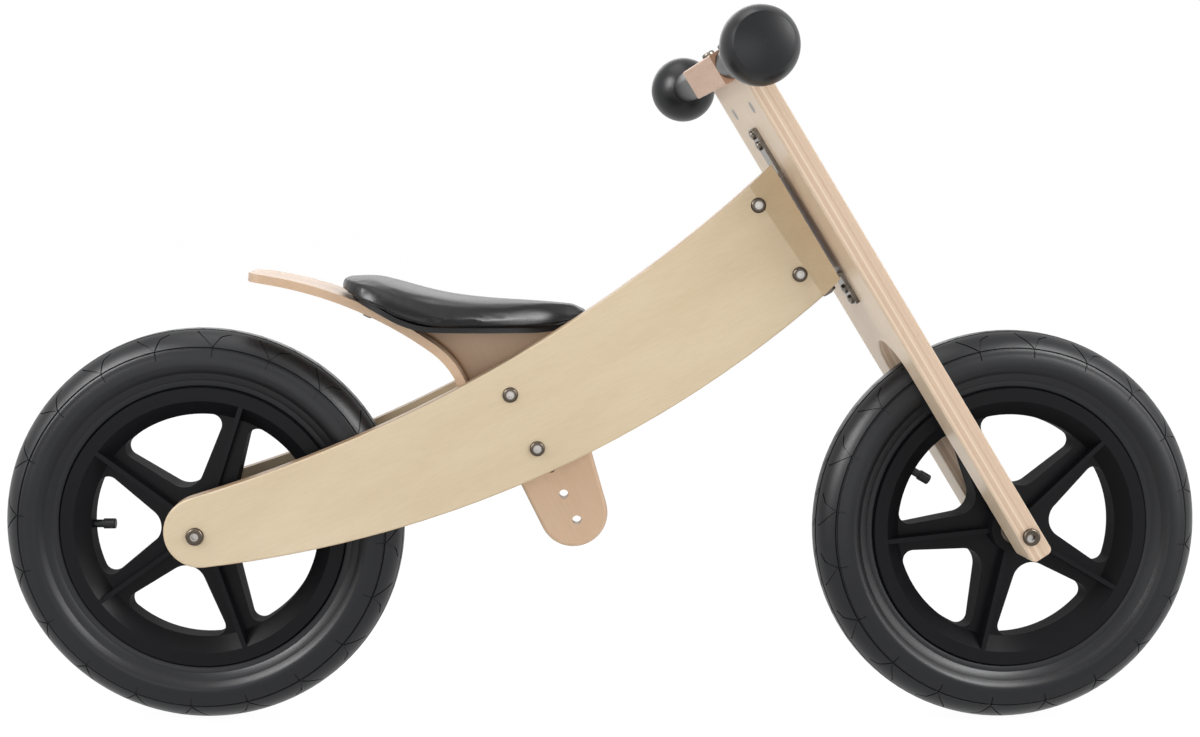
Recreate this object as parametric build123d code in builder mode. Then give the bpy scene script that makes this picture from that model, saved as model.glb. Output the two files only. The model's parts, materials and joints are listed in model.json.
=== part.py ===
"""Balance bike for a small child: two plywood side planks, a wooden fork board on a hinge, pneumatic wheels.

Frame of the model: +X forward, +Y to the rider's left, +Z up, in millimetres.
The origin is on the ground, midway between the two axles. The steering stands turned a little to the left.
"""
import os
from math import cos, radians, sin

from build123d import *

# ---------------------------------------------------------------- driving dimensions: layout
wheelbase = 621.0
head_angle = 32.0           # fork board and steering axis, leaning back from the vertical
rest_turn = 5.0             # how far the steering stands to the left at rest
steering_setback = 16.0     # steering axis, behind the fork board's rear face
plank_gap = 4.7             # fork board's rear face to the end of the long plank

# ---------------------------------------------------------------- wheels
flange_radius = 108.0       # rim's edge; the tyre stands on it
tyre_height = 44.5          # tread beyond the flange
tyre_shoulder = 19.0        # where the tyre is widest, beyond the flange
tyre_width = 50.0
tread_depth = 2.0
groove_depth = 1.5
groove_width = 1.6
groove_angles = (14.0, 62.0, 114.0)     # round the tyre's section, from the tread to the bead
carcass = 3.0
bead_width = 3.4            # tyre foot, on the rim's bead seat
tube_wall = 1.2
rim_width = 37.0
flange_wall = 3.2
flange_height = 6.5         # above the bead seat
well_depth = 6.0            # below the bead seat
well_width = 18.0
rim_depth = 21.0            # from the flange's edge to the windows between the spokes
rib_setback = 10.0          # from the flange's edge to the ends of the ribs
window_root_round = 15.0
window_rim_round = 8.0
spoke_count = 5
spoke_root = 29.0           # spoke width at the hub's edge
spoke_tip = 19.3            # spoke width at the windows' outer edge
web_root = 13.0             # half thickness of the web at the hub
web_tip = 8.5               # half thickness of the web at the rim
rib_width = 3.6
rib_root = 21.0             # half height of the rib at the hub
hub_radius = 18.0
hub_length = 54.0
hub_bore = 8.5              # between the bearings
bearing_radius = 11.0
bearing_width = 7.0
valve_radius = 3.1
valve_reach = 16.0          # valve, beyond the rim's inner edge
valve_cap_length = 9.0
valve_cap_wall = 0.9
rear_valve_angle = 180.0    # from forward, turning upwards
front_valve_angle = 150.0

# ---------------------------------------------------------------- planks and head
plank_thickness = 15.0
plank_spacing = 68.0        # between the planks' inner faces, at the rear axle
toe_in = 2.5                # degrees that the planks turn in towards the head
plank_top_radius = 1100.0
plank_bottom_radius = 840.0
plank_head_top = 337.6      # long plank's corners, measured up the fork board from the axle
plank_head_bottom = 236.0
plank_round = 1.6
bevel_length = 24.0         # long plank's outer face, planed off at its end
bevel_depth = 10.0
eye_radius = 27.0           # planks' rear ends
eye_ahead = 3.5             # their centre, ahead of the axle
eye_above = 3.0
short_plank_reach = 32.0    # its front edge, ahead of the row of holes
short_plank_round = 20.0
head_depth = 46.0
head_width_left = 20.0      # head block, left of the middle
head_step = 5.5             # the block is higher behind the bracket
head_slope = 4.0
head_bolt_setback = 25.0    # behind the plank's end
head_bolt_heights = (256.4, 317.3)

# ---------------------------------------------------------------- fork board and handlebar
board_thickness = 18.0
board_width = 127.0
board_foot = 19.0           # below the axle
board_top = 431.0
board_round = 1.5
slot_width = 57.0
slot_top = 175.0
foot_round = 4.5
beam_height = 24.5
beam_depth = 24.0
beam_let_in = 10.5          # how deep the beam lies in the board
beam_round = 1.5
beam_bolt_place = 35.0
beam_bolt_radius = 2.5
beam_bolt_setback = 3.0     # behind the board's middle
barrel_nut_depth = 49.0     # below the board's end
barrel_nut_radius = 5.0
barrel_nut_length = 13.0
grip_pin_radius = 9.0
grip_pin_end = 180.0
grip_radius = 12.0
grip_ball_radius = 27.0
grip_ball_place = 170.0     # from the middle of the bike
grip_end = 187.5            # edge of the ball's flatter end
grip_dome = 3.0

# ---------------------------------------------------------------- seat
ply = 12.0                  # seat plate
hole_pitch = 22.8
hole_radius = 3.6
hole_row_angle = 26.5       # the row leans back from the vertical
seat_hole_count = 6
first_hole = (-75.5, 258.6)
tongue_radius = 26.5        # plate's rounded foot
tongue_centre = 6.0         # its centre, before the last hole
tongue_flare = 10.5         # its front edge leans forward from the row
plate_round = 3.0
plate_rise_turn = 4.5       # how far its rear corner follows the strip's rise
spacer_width = 26.0
strip_thickness = 6.5
strip_width = 60.0
strip_lap = 34.0            # straight part, screwed to the plate's rear edge
strip_bend_place = 140.5    # where the bend starts, up the row from the last hole
strip_bend_radius = 60.0
strip_bend_turn = 28.0
strip_rise_radius = 290.0
strip_rise_turn = 29.4
strip_tip_round = 14.0
base_thickness = 4.0
base_back = 12.0            # degrees ahead of the strip's tip, round its rise
base_lap = 9.9              # degrees that the base lies on the strip
base_bend_radius = 80.0
base_bend_turn = 26.0
base_flat = 70.0
base_front_radius = 90.0
base_front_turn = 30.0
base_inset = 9.0            # base within the pad's edge, seen from above
pad_back = -205.0
pad_front = -15.0
pad_widest = -148.0
pad_half_width = 60.0
pad_waist = -62.0
pad_waist_half_width = 31.0
pad_nose = -32.0
pad_nose_half_width = 20.0
pad_top = [(-211.0, 346.0), (-178.0, 344.0), (-138.0, 333.5), (-97.0, 328.2), (-56.0, 326.8), (-10.0, 320.0)]

# ---------------------------------------------------------------- fastenings
bolt_radius = 3.0
axle_radius = 4.0
head_overhang = 2.6         # bolt head beyond its shank
head_height = 3.2
socket_radius = 2.3
socket_depth = 2.0
sleeve_wall = 1.5
sleeve_length = 10.0
washer = 1.2
washer_radius = 8.5
spacer_radius = 8.5
hex_height = 5.5
bolt_beyond_nut = 1.0
hex_radius = 7.2
screw_radius = 2.0
screw_head_radius = 3.8
screw_head_height = 2.2
screw_length = 14.0
screw_recess = 1.2
seat_screw_ahead = 18.5     # degrees ahead of the strip's tip
seat_screw_spread = 18.0
base_screw_places = (12.0, 55.0)
tail_screw_places = (9.0, 25.0)
bracket_thickness = 3.0
bracket_width = 20.0
bracket_drop = 13.0         # upper bracket's flat leg, below the long plank's top corner
bracket_end = 4.5           # its other leg, beyond the last screw
bracket_round = 7.0
bracket_reach = 11.0        # behind the steering axis
bracket_step_gap = 1.2      # round its rounded corners, to the step in the head block
upper_screw_heights = (353.0, 362.5)
lower_screw_heights = (225.0, 215.5)
bush_radius = 6.0
bush_length = 14.0
bush_flange_radius = 10.0
bush_flange = 1.5

# ---------------------------------------------------------------- clearances
running = 0.05              # shaft in its bearing, on the radius
side_gap = 0.3              # hub to its spacers, bush to bracket
soft_gap = 0.3
seat_sink = 0.2             # bolt heads' seats, at their shallowest
valve_gap = 0.2

# ---------------------------------------------------------------- places worked out from them
os.makedirs("parts", exist_ok=True)
lean = radians(head_angle)
toe = radians(toe_in)
tyre_radius = flange_radius + tyre_height
tyre_widest = flange_radius + tyre_shoulder
bead_radius = flange_radius - flange_height
well_radius = bead_radius - well_depth
window_radius = flange_radius - rim_depth
step_radius = flange_radius - rib_setback
half_wheelbase = wheelbase / 2
half_spacing = plank_spacing / 2
half_board = board_width / 2
rear_face = -board_thickness / 2
steering_place = rear_face - steering_setback
plank_end = rear_face - plank_gap
half_hub = hub_length / 2
half_ply = ply / 2

# The head frame: its origin in the front axle, X square to the fork board, Z up along the board.
head_plane = Plane(
    origin=(half_wheelbase, 0, tyre_radius), x_dir=(cos(lean), 0, sin(lean)), z_dir=(-sin(lean), 0, cos(lean))
)
head = head_plane.location
steered = head * Pos(steering_place, 0, 0) * Rot(0, 0, rest_turn) * Pos(-steering_place, 0, 0)
rear_axle = Pos(-half_wheelbase, 0, tyre_radius)


def write(piece, name, where=Location()):
    """Put a finished piece in its place and write its STEP file."""
    placed = where * piece.part
    placed.label = name
    export_step(placed, f"parts/{name}.step")
    return placed


def side_point(across, up):
    """A point of the head frame as (X, Z) of the whole bike, at the bike's middle."""
    spot = head * Pos(across, 0, up)
    return (spot.position.X, spot.position.Z)


def button_bolts(plane, points, shank, length):
    """Button-head bolts: heads on the plane's outer side, shanks going in below it."""
    axis = Axis(plane.origin, plane.z_dir)
    with BuildPart() as piece:
        with BuildSketch(plane):
            with Locations(*points):
                Circle(shank + head_overhang)
        extrude(amount=head_height)
        fillet(piece.edges().group_by(axis)[-1], head_height * 0.55)
        with BuildSketch(plane.offset(head_height)):
            with Locations(*points):
                RegularPolygon(socket_radius, 6)
        extrude(amount=-socket_depth, mode=Mode.SUBTRACT)
        with BuildSketch(plane):
            with Locations(*points):
                Circle(shank)
        extrude(amount=-length)
    return piece


def sleeve_nuts(left, points, shank):
    """Nuts with a sleeve and a button head, drawn into the left side by the bolts from the right."""
    with BuildPart() as piece:
        with BuildSketch(Plane.XZ.offset(-left)):
            with Locations(*points):
                Circle(shank + head_overhang)
        extrude(amount=-head_height)
        fillet(piece.edges().group_by(Axis.Y)[-1], head_height * 0.55)
        with BuildSketch(Plane.XZ.offset(-left - head_height)):
            with Locations(*points):
                RegularPolygon(socket_radius, 6)
        extrude(amount=socket_depth, mode=Mode.SUBTRACT)
        with BuildSketch(Plane.XZ.offset(-left)):
            with Locations(*points):
                Circle(shank + sleeve_wall)
        extrude(amount=sleeve_length)
        with BuildSketch(Plane.XZ.offset(-left + sleeve_length)):
            with Locations(*points):
                Circle(shank)
        extrude(amount=-sleeve_length - head_height + socket_depth, mode=Mode.SUBTRACT)
    return piece


def write_cross_bolts(name, right, left, points, shank, where=Location()):
    """The bolts from the right side and the sleeve nuts from the left, as two nodes."""
    write(button_bolts(Plane.XZ.offset(right), points, shank, right + left - head_height), name[0], where)
    write(sleeve_nuts(left, points, shank), name[1], where)


def bolt_space(right, left, points, shank):
    """The holes for such bolts and sleeve nuts and flat seats for their heads, to be cut from the wood."""
    with BuildPart() as space:
        for face, way in ((right, 1), (-left, -1)):
            with BuildSketch(Plane.XZ.offset(face)):
                with Locations(*points):
                    Circle(shank + head_overhang + soft_gap)
            extrude(amount=way * plank_thickness)
        with BuildSketch(Plane.XZ.offset(right)):
            with Locations(*points):
                Circle(shank)
        extrude(amount=-right - left)
        with BuildSketch(Plane.XZ.offset(-left)):
            with Locations(*points):
                Circle(shank + sleeve_wall)
        extrude(amount=sleeve_length)
    return space.part


def screws(plane, points, length):
    """Pan-head wood screws: heads on the plane's outer side, shanks going in below it."""
    axis = Axis(plane.origin, plane.z_dir)
    with BuildPart() as piece:
        with BuildSketch(plane):
            with Locations(*points):
                Circle(screw_head_radius)
        extrude(amount=screw_head_height)
        fillet(piece.edges().group_by(axis)[-1], screw_head_height * 0.5)
        with BuildSketch(plane.offset(screw_head_height)):
            with Locations(*points):
                Rectangle(screw_head_radius, screw_recess / 2)
                Rectangle(screw_recess / 2, screw_head_radius)
        extrude(amount=-screw_recess, mode=Mode.SUBTRACT)
        with BuildSketch(plane):
            with Locations(*points):
                Circle(screw_radius)
        extrude(amount=-length)
    return piece


def ring(inner, outer, low, high):
    """A plain ring about the Y axis, between two distances to the rider's right of the middle."""
    with BuildPart() as piece:
        with BuildSketch(Plane.XZ.offset(low)):
            Circle(outer)
            Circle(inner, mode=Mode.SUBTRACT)
        extrude(amount=high - low)
    return piece


def ring_pair(inner, outer, low, high):
    """Two such rings, one on each side."""
    with BuildPart() as piece:
        add(ring(inner, outer, low, high).part)
        mirror(about=Plane.XZ)
    return piece


# ---------------------------------------------------------------- side planks
axle_spot = (-half_wheelbase, tyre_radius)
head_bolts_at = [side_point(plank_end - head_bolt_setback, h) for h in head_bolt_heights]
row_x = sin(radians(hole_row_angle))
row_z = -cos(radians(hole_row_angle))
holes = [
    (first_hole[0] + row_x * hole_pitch * n, first_hole[1] + row_z * hole_pitch * n)
    for n in range(seat_hole_count)
]
seat_bolts_at = [holes[0], holes[2]]


def outer_side(x):
    """How far a plank's outer face is from the bike's middle."""
    return half_spacing - (x + half_wheelbase) * sin(toe) / cos(toe) + plank_thickness / cos(toe)


def head_seat(points, shank):
    """How far from the middle the bolt heads are seated, so that their whole underside meets the wood."""
    return min(outer_side(x + shank + head_overhang + soft_gap) for x, _ in points) - seat_sink


def slab(side, thickness):
    """All that lies between a plank's inner face and a plane this far outside it; side is -1 on the right."""
    plane = Plane(
        origin=(-half_wheelbase, side * half_spacing, 0),
        x_dir=(cos(toe), -side * sin(toe), 0),
        z_dir=(-side * sin(toe), -cos(toe), 0),
    )
    with BuildPart() as space:
        with BuildSketch(plane):
            Rectangle(4 * wheelbase, 4 * wheelbase)
        extrude(amount=-side * thickness)
    return space.part


def eye_touch(end, radius, way):
    """Where an edge from the plank's end runs smoothly into the rear eye; way is 1 on top and -1 below."""
    reach = Vector(*eye) - Vector(*end)
    from_eye = radius + way * eye_radius
    along = (radius**2 - from_eye**2 + reach.length**2) / (2 * reach.length)
    rise = Vector(reach.Y, -reach.X).normalized() * (radius**2 - along**2) ** 0.5
    centre = Vector(*end) + reach.normalized() * along + rise
    touch = Vector(*eye) + (centre - Vector(*eye)).normalized() * eye_radius * way
    return (touch.X, touch.Y)


eye = (axle_spot[0] + eye_ahead, axle_spot[1] + eye_above)
front_top = side_point(plank_end, plank_head_top)
front_bottom = side_point(plank_end, plank_head_bottom)
eye_top = eye_touch(front_top, plank_top_radius, 1)
eye_bottom = eye_touch(front_bottom, plank_bottom_radius, -1)
axle_seat = head_seat([axle_spot], axle_radius)
seat_bolt_seat = head_seat(seat_bolts_at, bolt_radius)
head_bolt_seat = head_seat(head_bolts_at, bolt_radius)
bolt_spaces = [
    bolt_space(axle_seat, axle_seat, [axle_spot], axle_radius),
    bolt_space(seat_bolt_seat, seat_bolt_seat, seat_bolts_at, bolt_radius),
    bolt_space(head_bolt_seat, head_width_left, head_bolts_at, bolt_radius),
]

with BuildPart() as bevel:
    start = side_point(plank_end - bevel_length, plank_head_top)[0]
    end_side = outer_side(front_top[0])
    with BuildSketch(head_plane.offset(plank_head_bottom - plank_thickness)):
        Polygon(
            (plank_end, bevel_depth - end_side),
            (plank_end + plank_gap, bevel_depth - end_side),
            (plank_end + plank_gap, -half_board),
            (plank_end - bevel_length, -half_board),
            (plank_end - bevel_length, -outer_side(start)),
            align=None,
        )
    extrude(amount=plank_head_top - plank_head_bottom + 2 * plank_thickness)


def plank(side):
    """The long plank on the right (-1) or the short one on the left (1), which ends at the seat plate."""
    with BuildPart() as piece:
        with BuildSketch(Plane.XZ) as outline:
            with BuildLine():
                RadiusArc(front_top, eye_top, plank_top_radius)
                ThreePointArc(eye_top, (eye[0] - eye_radius, eye[1]), eye_bottom)
                RadiusArc(eye_bottom, front_bottom, -plank_bottom_radius)
                Line(front_bottom, front_top)
            make_face()
            if side > 0:
                with Locations(Location((*holes[2], 0), (0, 0, hole_row_angle))):
                    with Locations((short_plank_reach + wheelbase, 0)):
                        Rectangle(2 * wheelbase, 2 * wheelbase, mode=Mode.SUBTRACT)
                fillet(outline.vertices().sort_by(Axis.X)[-2:], short_plank_round)
        extrude(amount=plank_spacing, both=True)
        add(slab(side, plank_thickness), mode=Mode.INTERSECT)
        outer = piece.faces().sort_by(SortBy.AREA)[-2:].sort_by(Axis.Y)[-1 if side > 0 else 0]
        fillet(outer.edges(), plank_round)
        if side < 0:
            add(bevel.part, mode=Mode.SUBTRACT)
        add(bolt_spaces[: 3 if side < 0 else 2], mode=Mode.SUBTRACT)
    return piece


planks = {"right": plank(-1), "left": plank(1)}
for name, piece in planks.items():
    write(piece, f"side_plank_{name}")

# ---------------------------------------------------------------- head block and bushes, in the head frame
# From the top: bracket, bush flange, block, bush flange, bracket. The lower bracket ends level with the plank.
upper_leg = plank_head_top - bracket_drop
lower_leg = plank_head_bottom + bracket_thickness
block_top = upper_leg - side_gap - bush_flange
block_bottom = lower_leg + side_gap + bush_flange
block_back = plank_end - head_depth
bracket_sweep = bracket_round + (bracket_width / 2 - bracket_round) * 2**0.5
step_back = steering_place - bracket_sweep - bracket_step_gap
axis_spot = (steering_place, 0)
plank_side = head.inverse() * slab(-1, plank_spacing)
head_bolt_space = head.inverse() * bolt_spaces[2]

with BuildPart() as head_block:
    with BuildSketch(Plane.XZ.offset(-head_width_left)):
        Polygon(
            (plank_end, block_bottom),
            (plank_end, block_top),
            (step_back, block_top),
            (step_back, block_top + head_step),
            (block_back, block_top + head_step - head_slope),
            (block_back, block_bottom),
            align=None,
        )
    extrude(amount=head_width_left + half_spacing)
    add(plank_side, mode=Mode.SUBTRACT)
    with BuildSketch(Plane.XY.offset(block_bottom)):
        with Locations(axis_spot):
            Circle(axle_radius + side_gap)
    extrude(amount=block_top - block_bottom, mode=Mode.SUBTRACT)
    for mouth, way in ((block_top, -1), (block_bottom, 1)):
        with BuildSketch(Plane.XY.offset(mouth)):
            with Locations(axis_spot):
                Circle(bush_radius)
        extrude(amount=way * bush_length, mode=Mode.SUBTRACT)
    add(head_bolt_space, mode=Mode.SUBTRACT)
write(head_block, "head_block", head)


def bush(mouth, way):
    """A flanged bush in the head block; way is 1 where its flange looks up and -1 where it looks down."""
    with BuildPart() as piece:
        with BuildSketch(Plane.XY.offset(mouth)):
            with Locations(axis_spot):
                Circle(bush_radius)
        extrude(amount=-way * bush_length)
        with BuildSketch(Plane.XY.offset(mouth)):
            with Locations(axis_spot):
                Circle(bush_flange_radius)
        extrude(amount=way * bush_flange)
        with BuildSketch(Plane.XY.offset(mouth - way * bush_length)):
            with Locations(axis_spot):
                Circle(axle_radius + running)
        extrude(amount=way * (bush_length + bush_flange), mode=Mode.SUBTRACT)
    return piece


write(bush(block_top, 1), "steering_bush_upper", head)
write(bush(block_bottom, -1), "steering_bush_lower", head)

write_cross_bolts(("head_bolts", "head_nuts"), head_bolt_seat, head_width_left, head_bolts_at, bolt_radius)

# ---------------------------------------------------------------- tail strip and seat plate
row = Vector(row_x, row_z)
square = Vector(-row_z, row_x)


def at_row(along, across):
    """A point measured down the row of holes from the last hole, and forward, square to the row."""
    return Vector(*holes[-1]) + row * along + square * across


plate_back = -tongue_radius
strip_back = plate_back - strip_thickness
strip_foot = strip_lap - strip_bend_place


def strip_line(across, grow):
    """The strip's side view as straight, bend and rise; grow is what its radii gain on the back surface."""
    with BuildLine() as line:
        lap = Line(at_row(strip_foot, across), at_row(-strip_bend_place, across))
        bend = JernArc(lap @ 1, lap % 1, strip_bend_radius + grow, strip_bend_turn)
        JernArc(bend @ 1, bend % 1, strip_rise_radius + grow, strip_rise_turn)
    return line


def rise_plane(line, ahead):
    """A plane on the strip's rise, this many degrees ahead of its tip, looking out of its surface."""
    rise = line.edges()[2]
    place = 1 - ahead / strip_rise_turn
    spot = rise @ place
    way = rise % place
    return Plane(origin=(spot.X, 0, spot.Y), x_dir=(0, 1, 0), z_dir=(way.Y, 0, -way.X))


strip_under = strip_line(strip_back, 0)
strip_top = strip_line(plate_back, strip_thickness)
strip_start = at_row(strip_foot, strip_back)
lap_plane = Plane(
    origin=(strip_start.X, 0, strip_start.Y), x_dir=(-row.X, 0, -row.Y), z_dir=(-square.X, 0, -square.Y)
)
tail_screws = screws(lap_plane, [(place, 0) for place in tail_screw_places], screw_length)
write(tail_screws, "tail_screws")
rise_under = rise_plane(strip_under, seat_screw_ahead)
rise_under = Plane(origin=rise_under.origin, x_dir=rise_under.x_dir, z_dir=-rise_under.z_dir)
seat_screw_length = strip_thickness + base_thickness
seat_screws = screws(rise_under, [(-seat_screw_spread, 0), (seat_screw_spread, 0)], seat_screw_length)
write(seat_screws, "seat_screws")

with BuildPart() as tail_strip:
    with BuildSketch(Plane.XZ):
        with BuildLine():
            add(strip_under.line)
            offset(amount=strip_thickness, side=Side.RIGHT)
        make_face()
    extrude(amount=strip_width / 2, both=True)
    fillet(tail_strip.edges().filter_by(Axis.Y, reverse=True).group_by(Axis.X)[0], strip_tip_round)
    add([tail_screws.part, seat_screws.part], mode=Mode.SUBTRACT)
    add([piece.part for piece in planks.values()], mode=Mode.SUBTRACT)
write(tail_strip, "tail_strip")

# The base lies on the strip's rise, bends off it and runs level along the plate's top edge.
with BuildLine() as base_under:
    rise = strip_top.edges()[2]
    place = 1 - base_back / strip_rise_turn
    lie = JernArc(rise @ place, -(rise % place), strip_rise_radius + strip_thickness, -base_lap)
    dip = JernArc(lie @ 1, lie % 1, base_bend_radius, base_bend_turn)
    level = Line(dip @ 1, dip @ 1 + (dip % 1) * base_flat)
    JernArc(level @ 1, level % 1, base_front_radius, base_front_turn)
level_way = level % 1
level_plane = Plane(
    origin=((level @ 0).X - level_way.Y * base_thickness, 0, (level @ 0).Y + level_way.X * base_thickness),
    x_dir=(level_way.X, 0, level_way.Y),
    z_dir=(-level_way.Y, 0, level_way.X),
)


def pad_outline(inset):
    """The pad seen from above, drawn as a half and mirrored, smaller all round by the inset."""
    with BuildSketch(Plane.XY) as sketch:
        with BuildLine():
            Spline(
                (pad_back + inset, 0),
                (pad_widest, pad_half_width - inset),
                (pad_waist, pad_waist_half_width - inset),
                (pad_nose, pad_nose_half_width - inset),
                (pad_front - inset, 0),
                tangents=[(0, 1), (0, -1)],
            )
            mirror(about=Plane.XZ)
        make_face()
    return sketch.sketch


with BuildPart() as base_screws:
    with BuildSketch(level_plane):
        with Locations(*[(place, 0) for place in base_screw_places]):
            Circle(screw_head_radius)
    extrude(amount=-screw_head_height, taper=38)
    with BuildSketch(level_plane):
        with Locations(*[(place, 0) for place in base_screw_places]):
            Circle(screw_radius)
    extrude(amount=-screw_length)
write(base_screws, "base_screws")

with BuildPart() as seat_base:
    with BuildSketch(Plane.XZ):
        with BuildLine():
            add(base_under.line)
            offset(amount=base_thickness, side=Side.LEFT)
        make_face()
    extrude(amount=pad_half_width, both=True)
    add(pad_outline(base_inset))
    extrude(amount=first_hole[1] * 2, mode=Mode.INTERSECT)
    add([seat_screws.part, base_screws.part], mode=Mode.SUBTRACT)
write(seat_base, "seat_base")

with BuildPart() as seat_pad:
    with BuildSketch(Plane.XZ):
        with BuildLine():
            under = offset(base_under.line, amount=base_thickness + soft_gap, side=Side.LEFT, closed=False)
            top = Spline(*pad_top)
            Line(under.vertices().sort_by(Axis.X)[0], top @ 0)
            Line(under.vertices().sort_by(Axis.X)[-1], top @ 1)
        make_face()
    extrude(amount=pad_half_width, both=True)
    add(pad_outline(0))
    extrude(amount=first_hole[1] * 2, mode=Mode.INTERSECT)
write(seat_pad, "seat_pad")

# ---------------------------------------------------------------- seat plate and its spacers
tongue = at_row(-tongue_centre, 0)
flare = radians(tongue_flare)
tongue_front = tongue + (row * sin(flare) + square * cos(flare)) * tongue_radius
front_way = square * sin(flare) - row * cos(flare)
above = (level @ 0).Y + plank_spacing
under_back = base_under.line @ 0
under_front = base_under.line @ 1
with BuildPart() as seat_plate:
    with BuildSketch(Plane.XZ):
        with BuildLine():
            back = Line(at_row(-tongue_centre, plate_back), at_row(-strip_bend_place, plate_back))
            bend = JernArc(back @ 1, back % 1, strip_bend_radius + strip_thickness, strip_bend_turn)
            rise = JernArc(bend @ 1, bend % 1, strip_rise_radius + strip_thickness, plate_rise_turn)
            front = Line(tongue_front, tongue_front + front_way * 2 * seat_hole_count * hole_pitch)
            RadiusArc(tongue_front, back @ 0, tongue_radius)
            Polyline(rise @ 1, ((rise @ 1).X, above), ((front @ 1).X, above), front @ 1)
        make_face()
        with BuildLine():
            add(base_under.line)
            Polyline(under_back, (under_back.X, 2 * above), (under_front.X, 2 * above), under_front)
        make_face(mode=Mode.SUBTRACT)
    extrude(amount=half_ply, both=True)
    rims = seat_plate.faces().filter_by(Axis.Y).edges()
    fillet([edge for edge in rims if edge.center().Z < strip_start.Y + strip_lap], plate_round)
    with BuildSketch(Plane.XZ.offset(half_ply)):
        with Locations(*holes):
            Circle(hole_radius)
    extrude(amount=-ply, mode=Mode.SUBTRACT)
    add([tail_screws.part, base_screws.part], mode=Mode.SUBTRACT)
write(seat_plate, "seat_plate")


def seat_spacer(side):
    """A block from the seat plate to a plank, round both seat bolts; side as for the planks."""
    middle = at_row(-hole_pitch * (seat_hole_count - 2), 0)
    face = Plane(origin=(middle.X, side * half_ply, middle.Y), x_dir=(row.X, 0, row.Y), z_dir=(0, side, 0))
    with BuildPart() as piece:
        with BuildSketch(face):
            SlotCenterToCenter(2 * hole_pitch, spacer_width)
            with Locations((-hole_pitch, 0), (hole_pitch, 0)):
                Circle(bolt_radius, mode=Mode.SUBTRACT)
        extrude(amount=half_spacing - half_ply)
        add(slab(side, plank_spacing), mode=Mode.SUBTRACT)
    return piece


write(seat_spacer(-1), "seat_spacer_right")
write(seat_spacer(1), "seat_spacer_left")
write_cross_bolts(("seat_bolts", "seat_nuts"), seat_bolt_seat, seat_bolt_seat, seat_bolts_at, bolt_radius)

# ---------------------------------------------------------------- wheels, about the Y axis, valve forward
half_tyre = tyre_width / 2
half_rim = rim_width / 2
bead_wall = half_rim - flange_wall
half_well = well_width / 2
foot_out = bead_wall - soft_gap
foot_in = foot_out - bead_width
foot_radius = bead_radius + soft_gap
foot_top = flange_radius + soft_gap
inner_crown = tyre_radius - tread_depth - carcass

with BuildPart() as tyre:
    with BuildSketch(Plane.XY):
        with BuildLine():
            TangentArc((tyre_widest, half_tyre), (tyre_radius, 0), tangent=(1, 0))
            outer = TangentArc((tyre_widest, half_tyre), (foot_top, foot_out), tangent=(-1, 0))
            inner = TangentArc((tyre_widest, half_tyre - carcass), (foot_top, foot_in), tangent=(-1, 0))
            TangentArc((tyre_widest, half_tyre - carcass), (inner_crown, 0), tangent=(1, 0))
            Polyline(outer @ 1, (foot_radius, foot_out), (foot_radius, foot_in), inner @ 1)
            Line((inner_crown, 0), (tyre_radius, 0))
        make_face()
        mirror(about=Plane.XZ)
    revolve(axis=Axis.Y)
    with BuildSketch(Plane.XY):
        for angle in groove_angles:
            with Locations(*[Location((tyre_widest, 0, 0), (0, 0, way * angle)) for way in (-1, 1)]):
                with Locations((half_tyre, 0)):
                    Rectangle(groove_depth * 2, groove_width)
    revolve(axis=Axis.Y, mode=Mode.SUBTRACT)

with BuildPart() as tube:
    with BuildSketch(Plane.XY):
        with Locations((tyre_widest, 0)):
            Ellipse(inner_crown - soft_gap - tyre_widest, half_tyre - carcass - soft_gap)
            Ellipse(
                inner_crown - soft_gap - tube_wall - tyre_widest,
                half_tyre - carcass - soft_gap - tube_wall,
                mode=Mode.SUBTRACT,
            )
    revolve(axis=Axis.Y)
tube_foot = 2 * tyre_widest - inner_crown + soft_gap

with BuildPart() as valve:
    with BuildSketch(Plane.YZ.offset(window_radius - valve_reach)):
        Circle(valve_radius)
    extrude(amount=tube_foot - soft_gap - window_radius + valve_reach)

with BuildPart() as valve_cap:
    with BuildSketch(Plane.YZ.offset(window_radius - valve_reach - valve_cap_wall)):
        Circle(valve_radius + valve_cap_wall)
    extrude(amount=valve_cap_length)
    fillet(valve_cap.edges().group_by(Axis.X)[0], valve_cap_wall)
    with BuildSketch(Plane.YZ.offset(window_radius - valve_reach)):
        Circle(valve_radius + running)
    extrude(amount=valve_cap_length, mode=Mode.SUBTRACT)

spoke_angles = [360 / spoke_count * (n + 0.5) for n in range(spoke_count)]
window_angle = radians(180 / spoke_count)
spoke_taper = (spoke_root - spoke_tip) / 2 / (window_radius - hub_radius)
spoke_centre = spoke_root / 2 + spoke_taper * hub_radius
window_start = spoke_centre / (sin(window_angle) + spoke_taper * cos(window_angle))
window_far = window_radius * 1.2
window_side = (
    window_far * cos(window_angle) + (spoke_centre - spoke_taper * window_far) * sin(window_angle),
    window_far * sin(window_angle) - (spoke_centre - spoke_taper * window_far) * cos(window_angle),
)


def spoke_plane(angle):
    """The plane through a spoke and the axle: X out along the spoke, Y along the axle."""
    turn = radians(angle)
    return Plane(origin=(0, 0, 0), x_dir=(cos(turn), 0, sin(turn)), z_dir=(-sin(turn), 0, cos(turn)))


with BuildSketch() as window:
    Polygon((window_start, 0), window_side, (window_side[0], -window_side[1]), align=None)
    Circle(window_radius, mode=Mode.INTERSECT)
    fillet(window.vertices().sort_by(Axis.X)[0], window_root_round)
    fillet([window.vertices().sort_by(Axis.Y)[end] for end in (0, -1)], window_rim_round)

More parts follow.
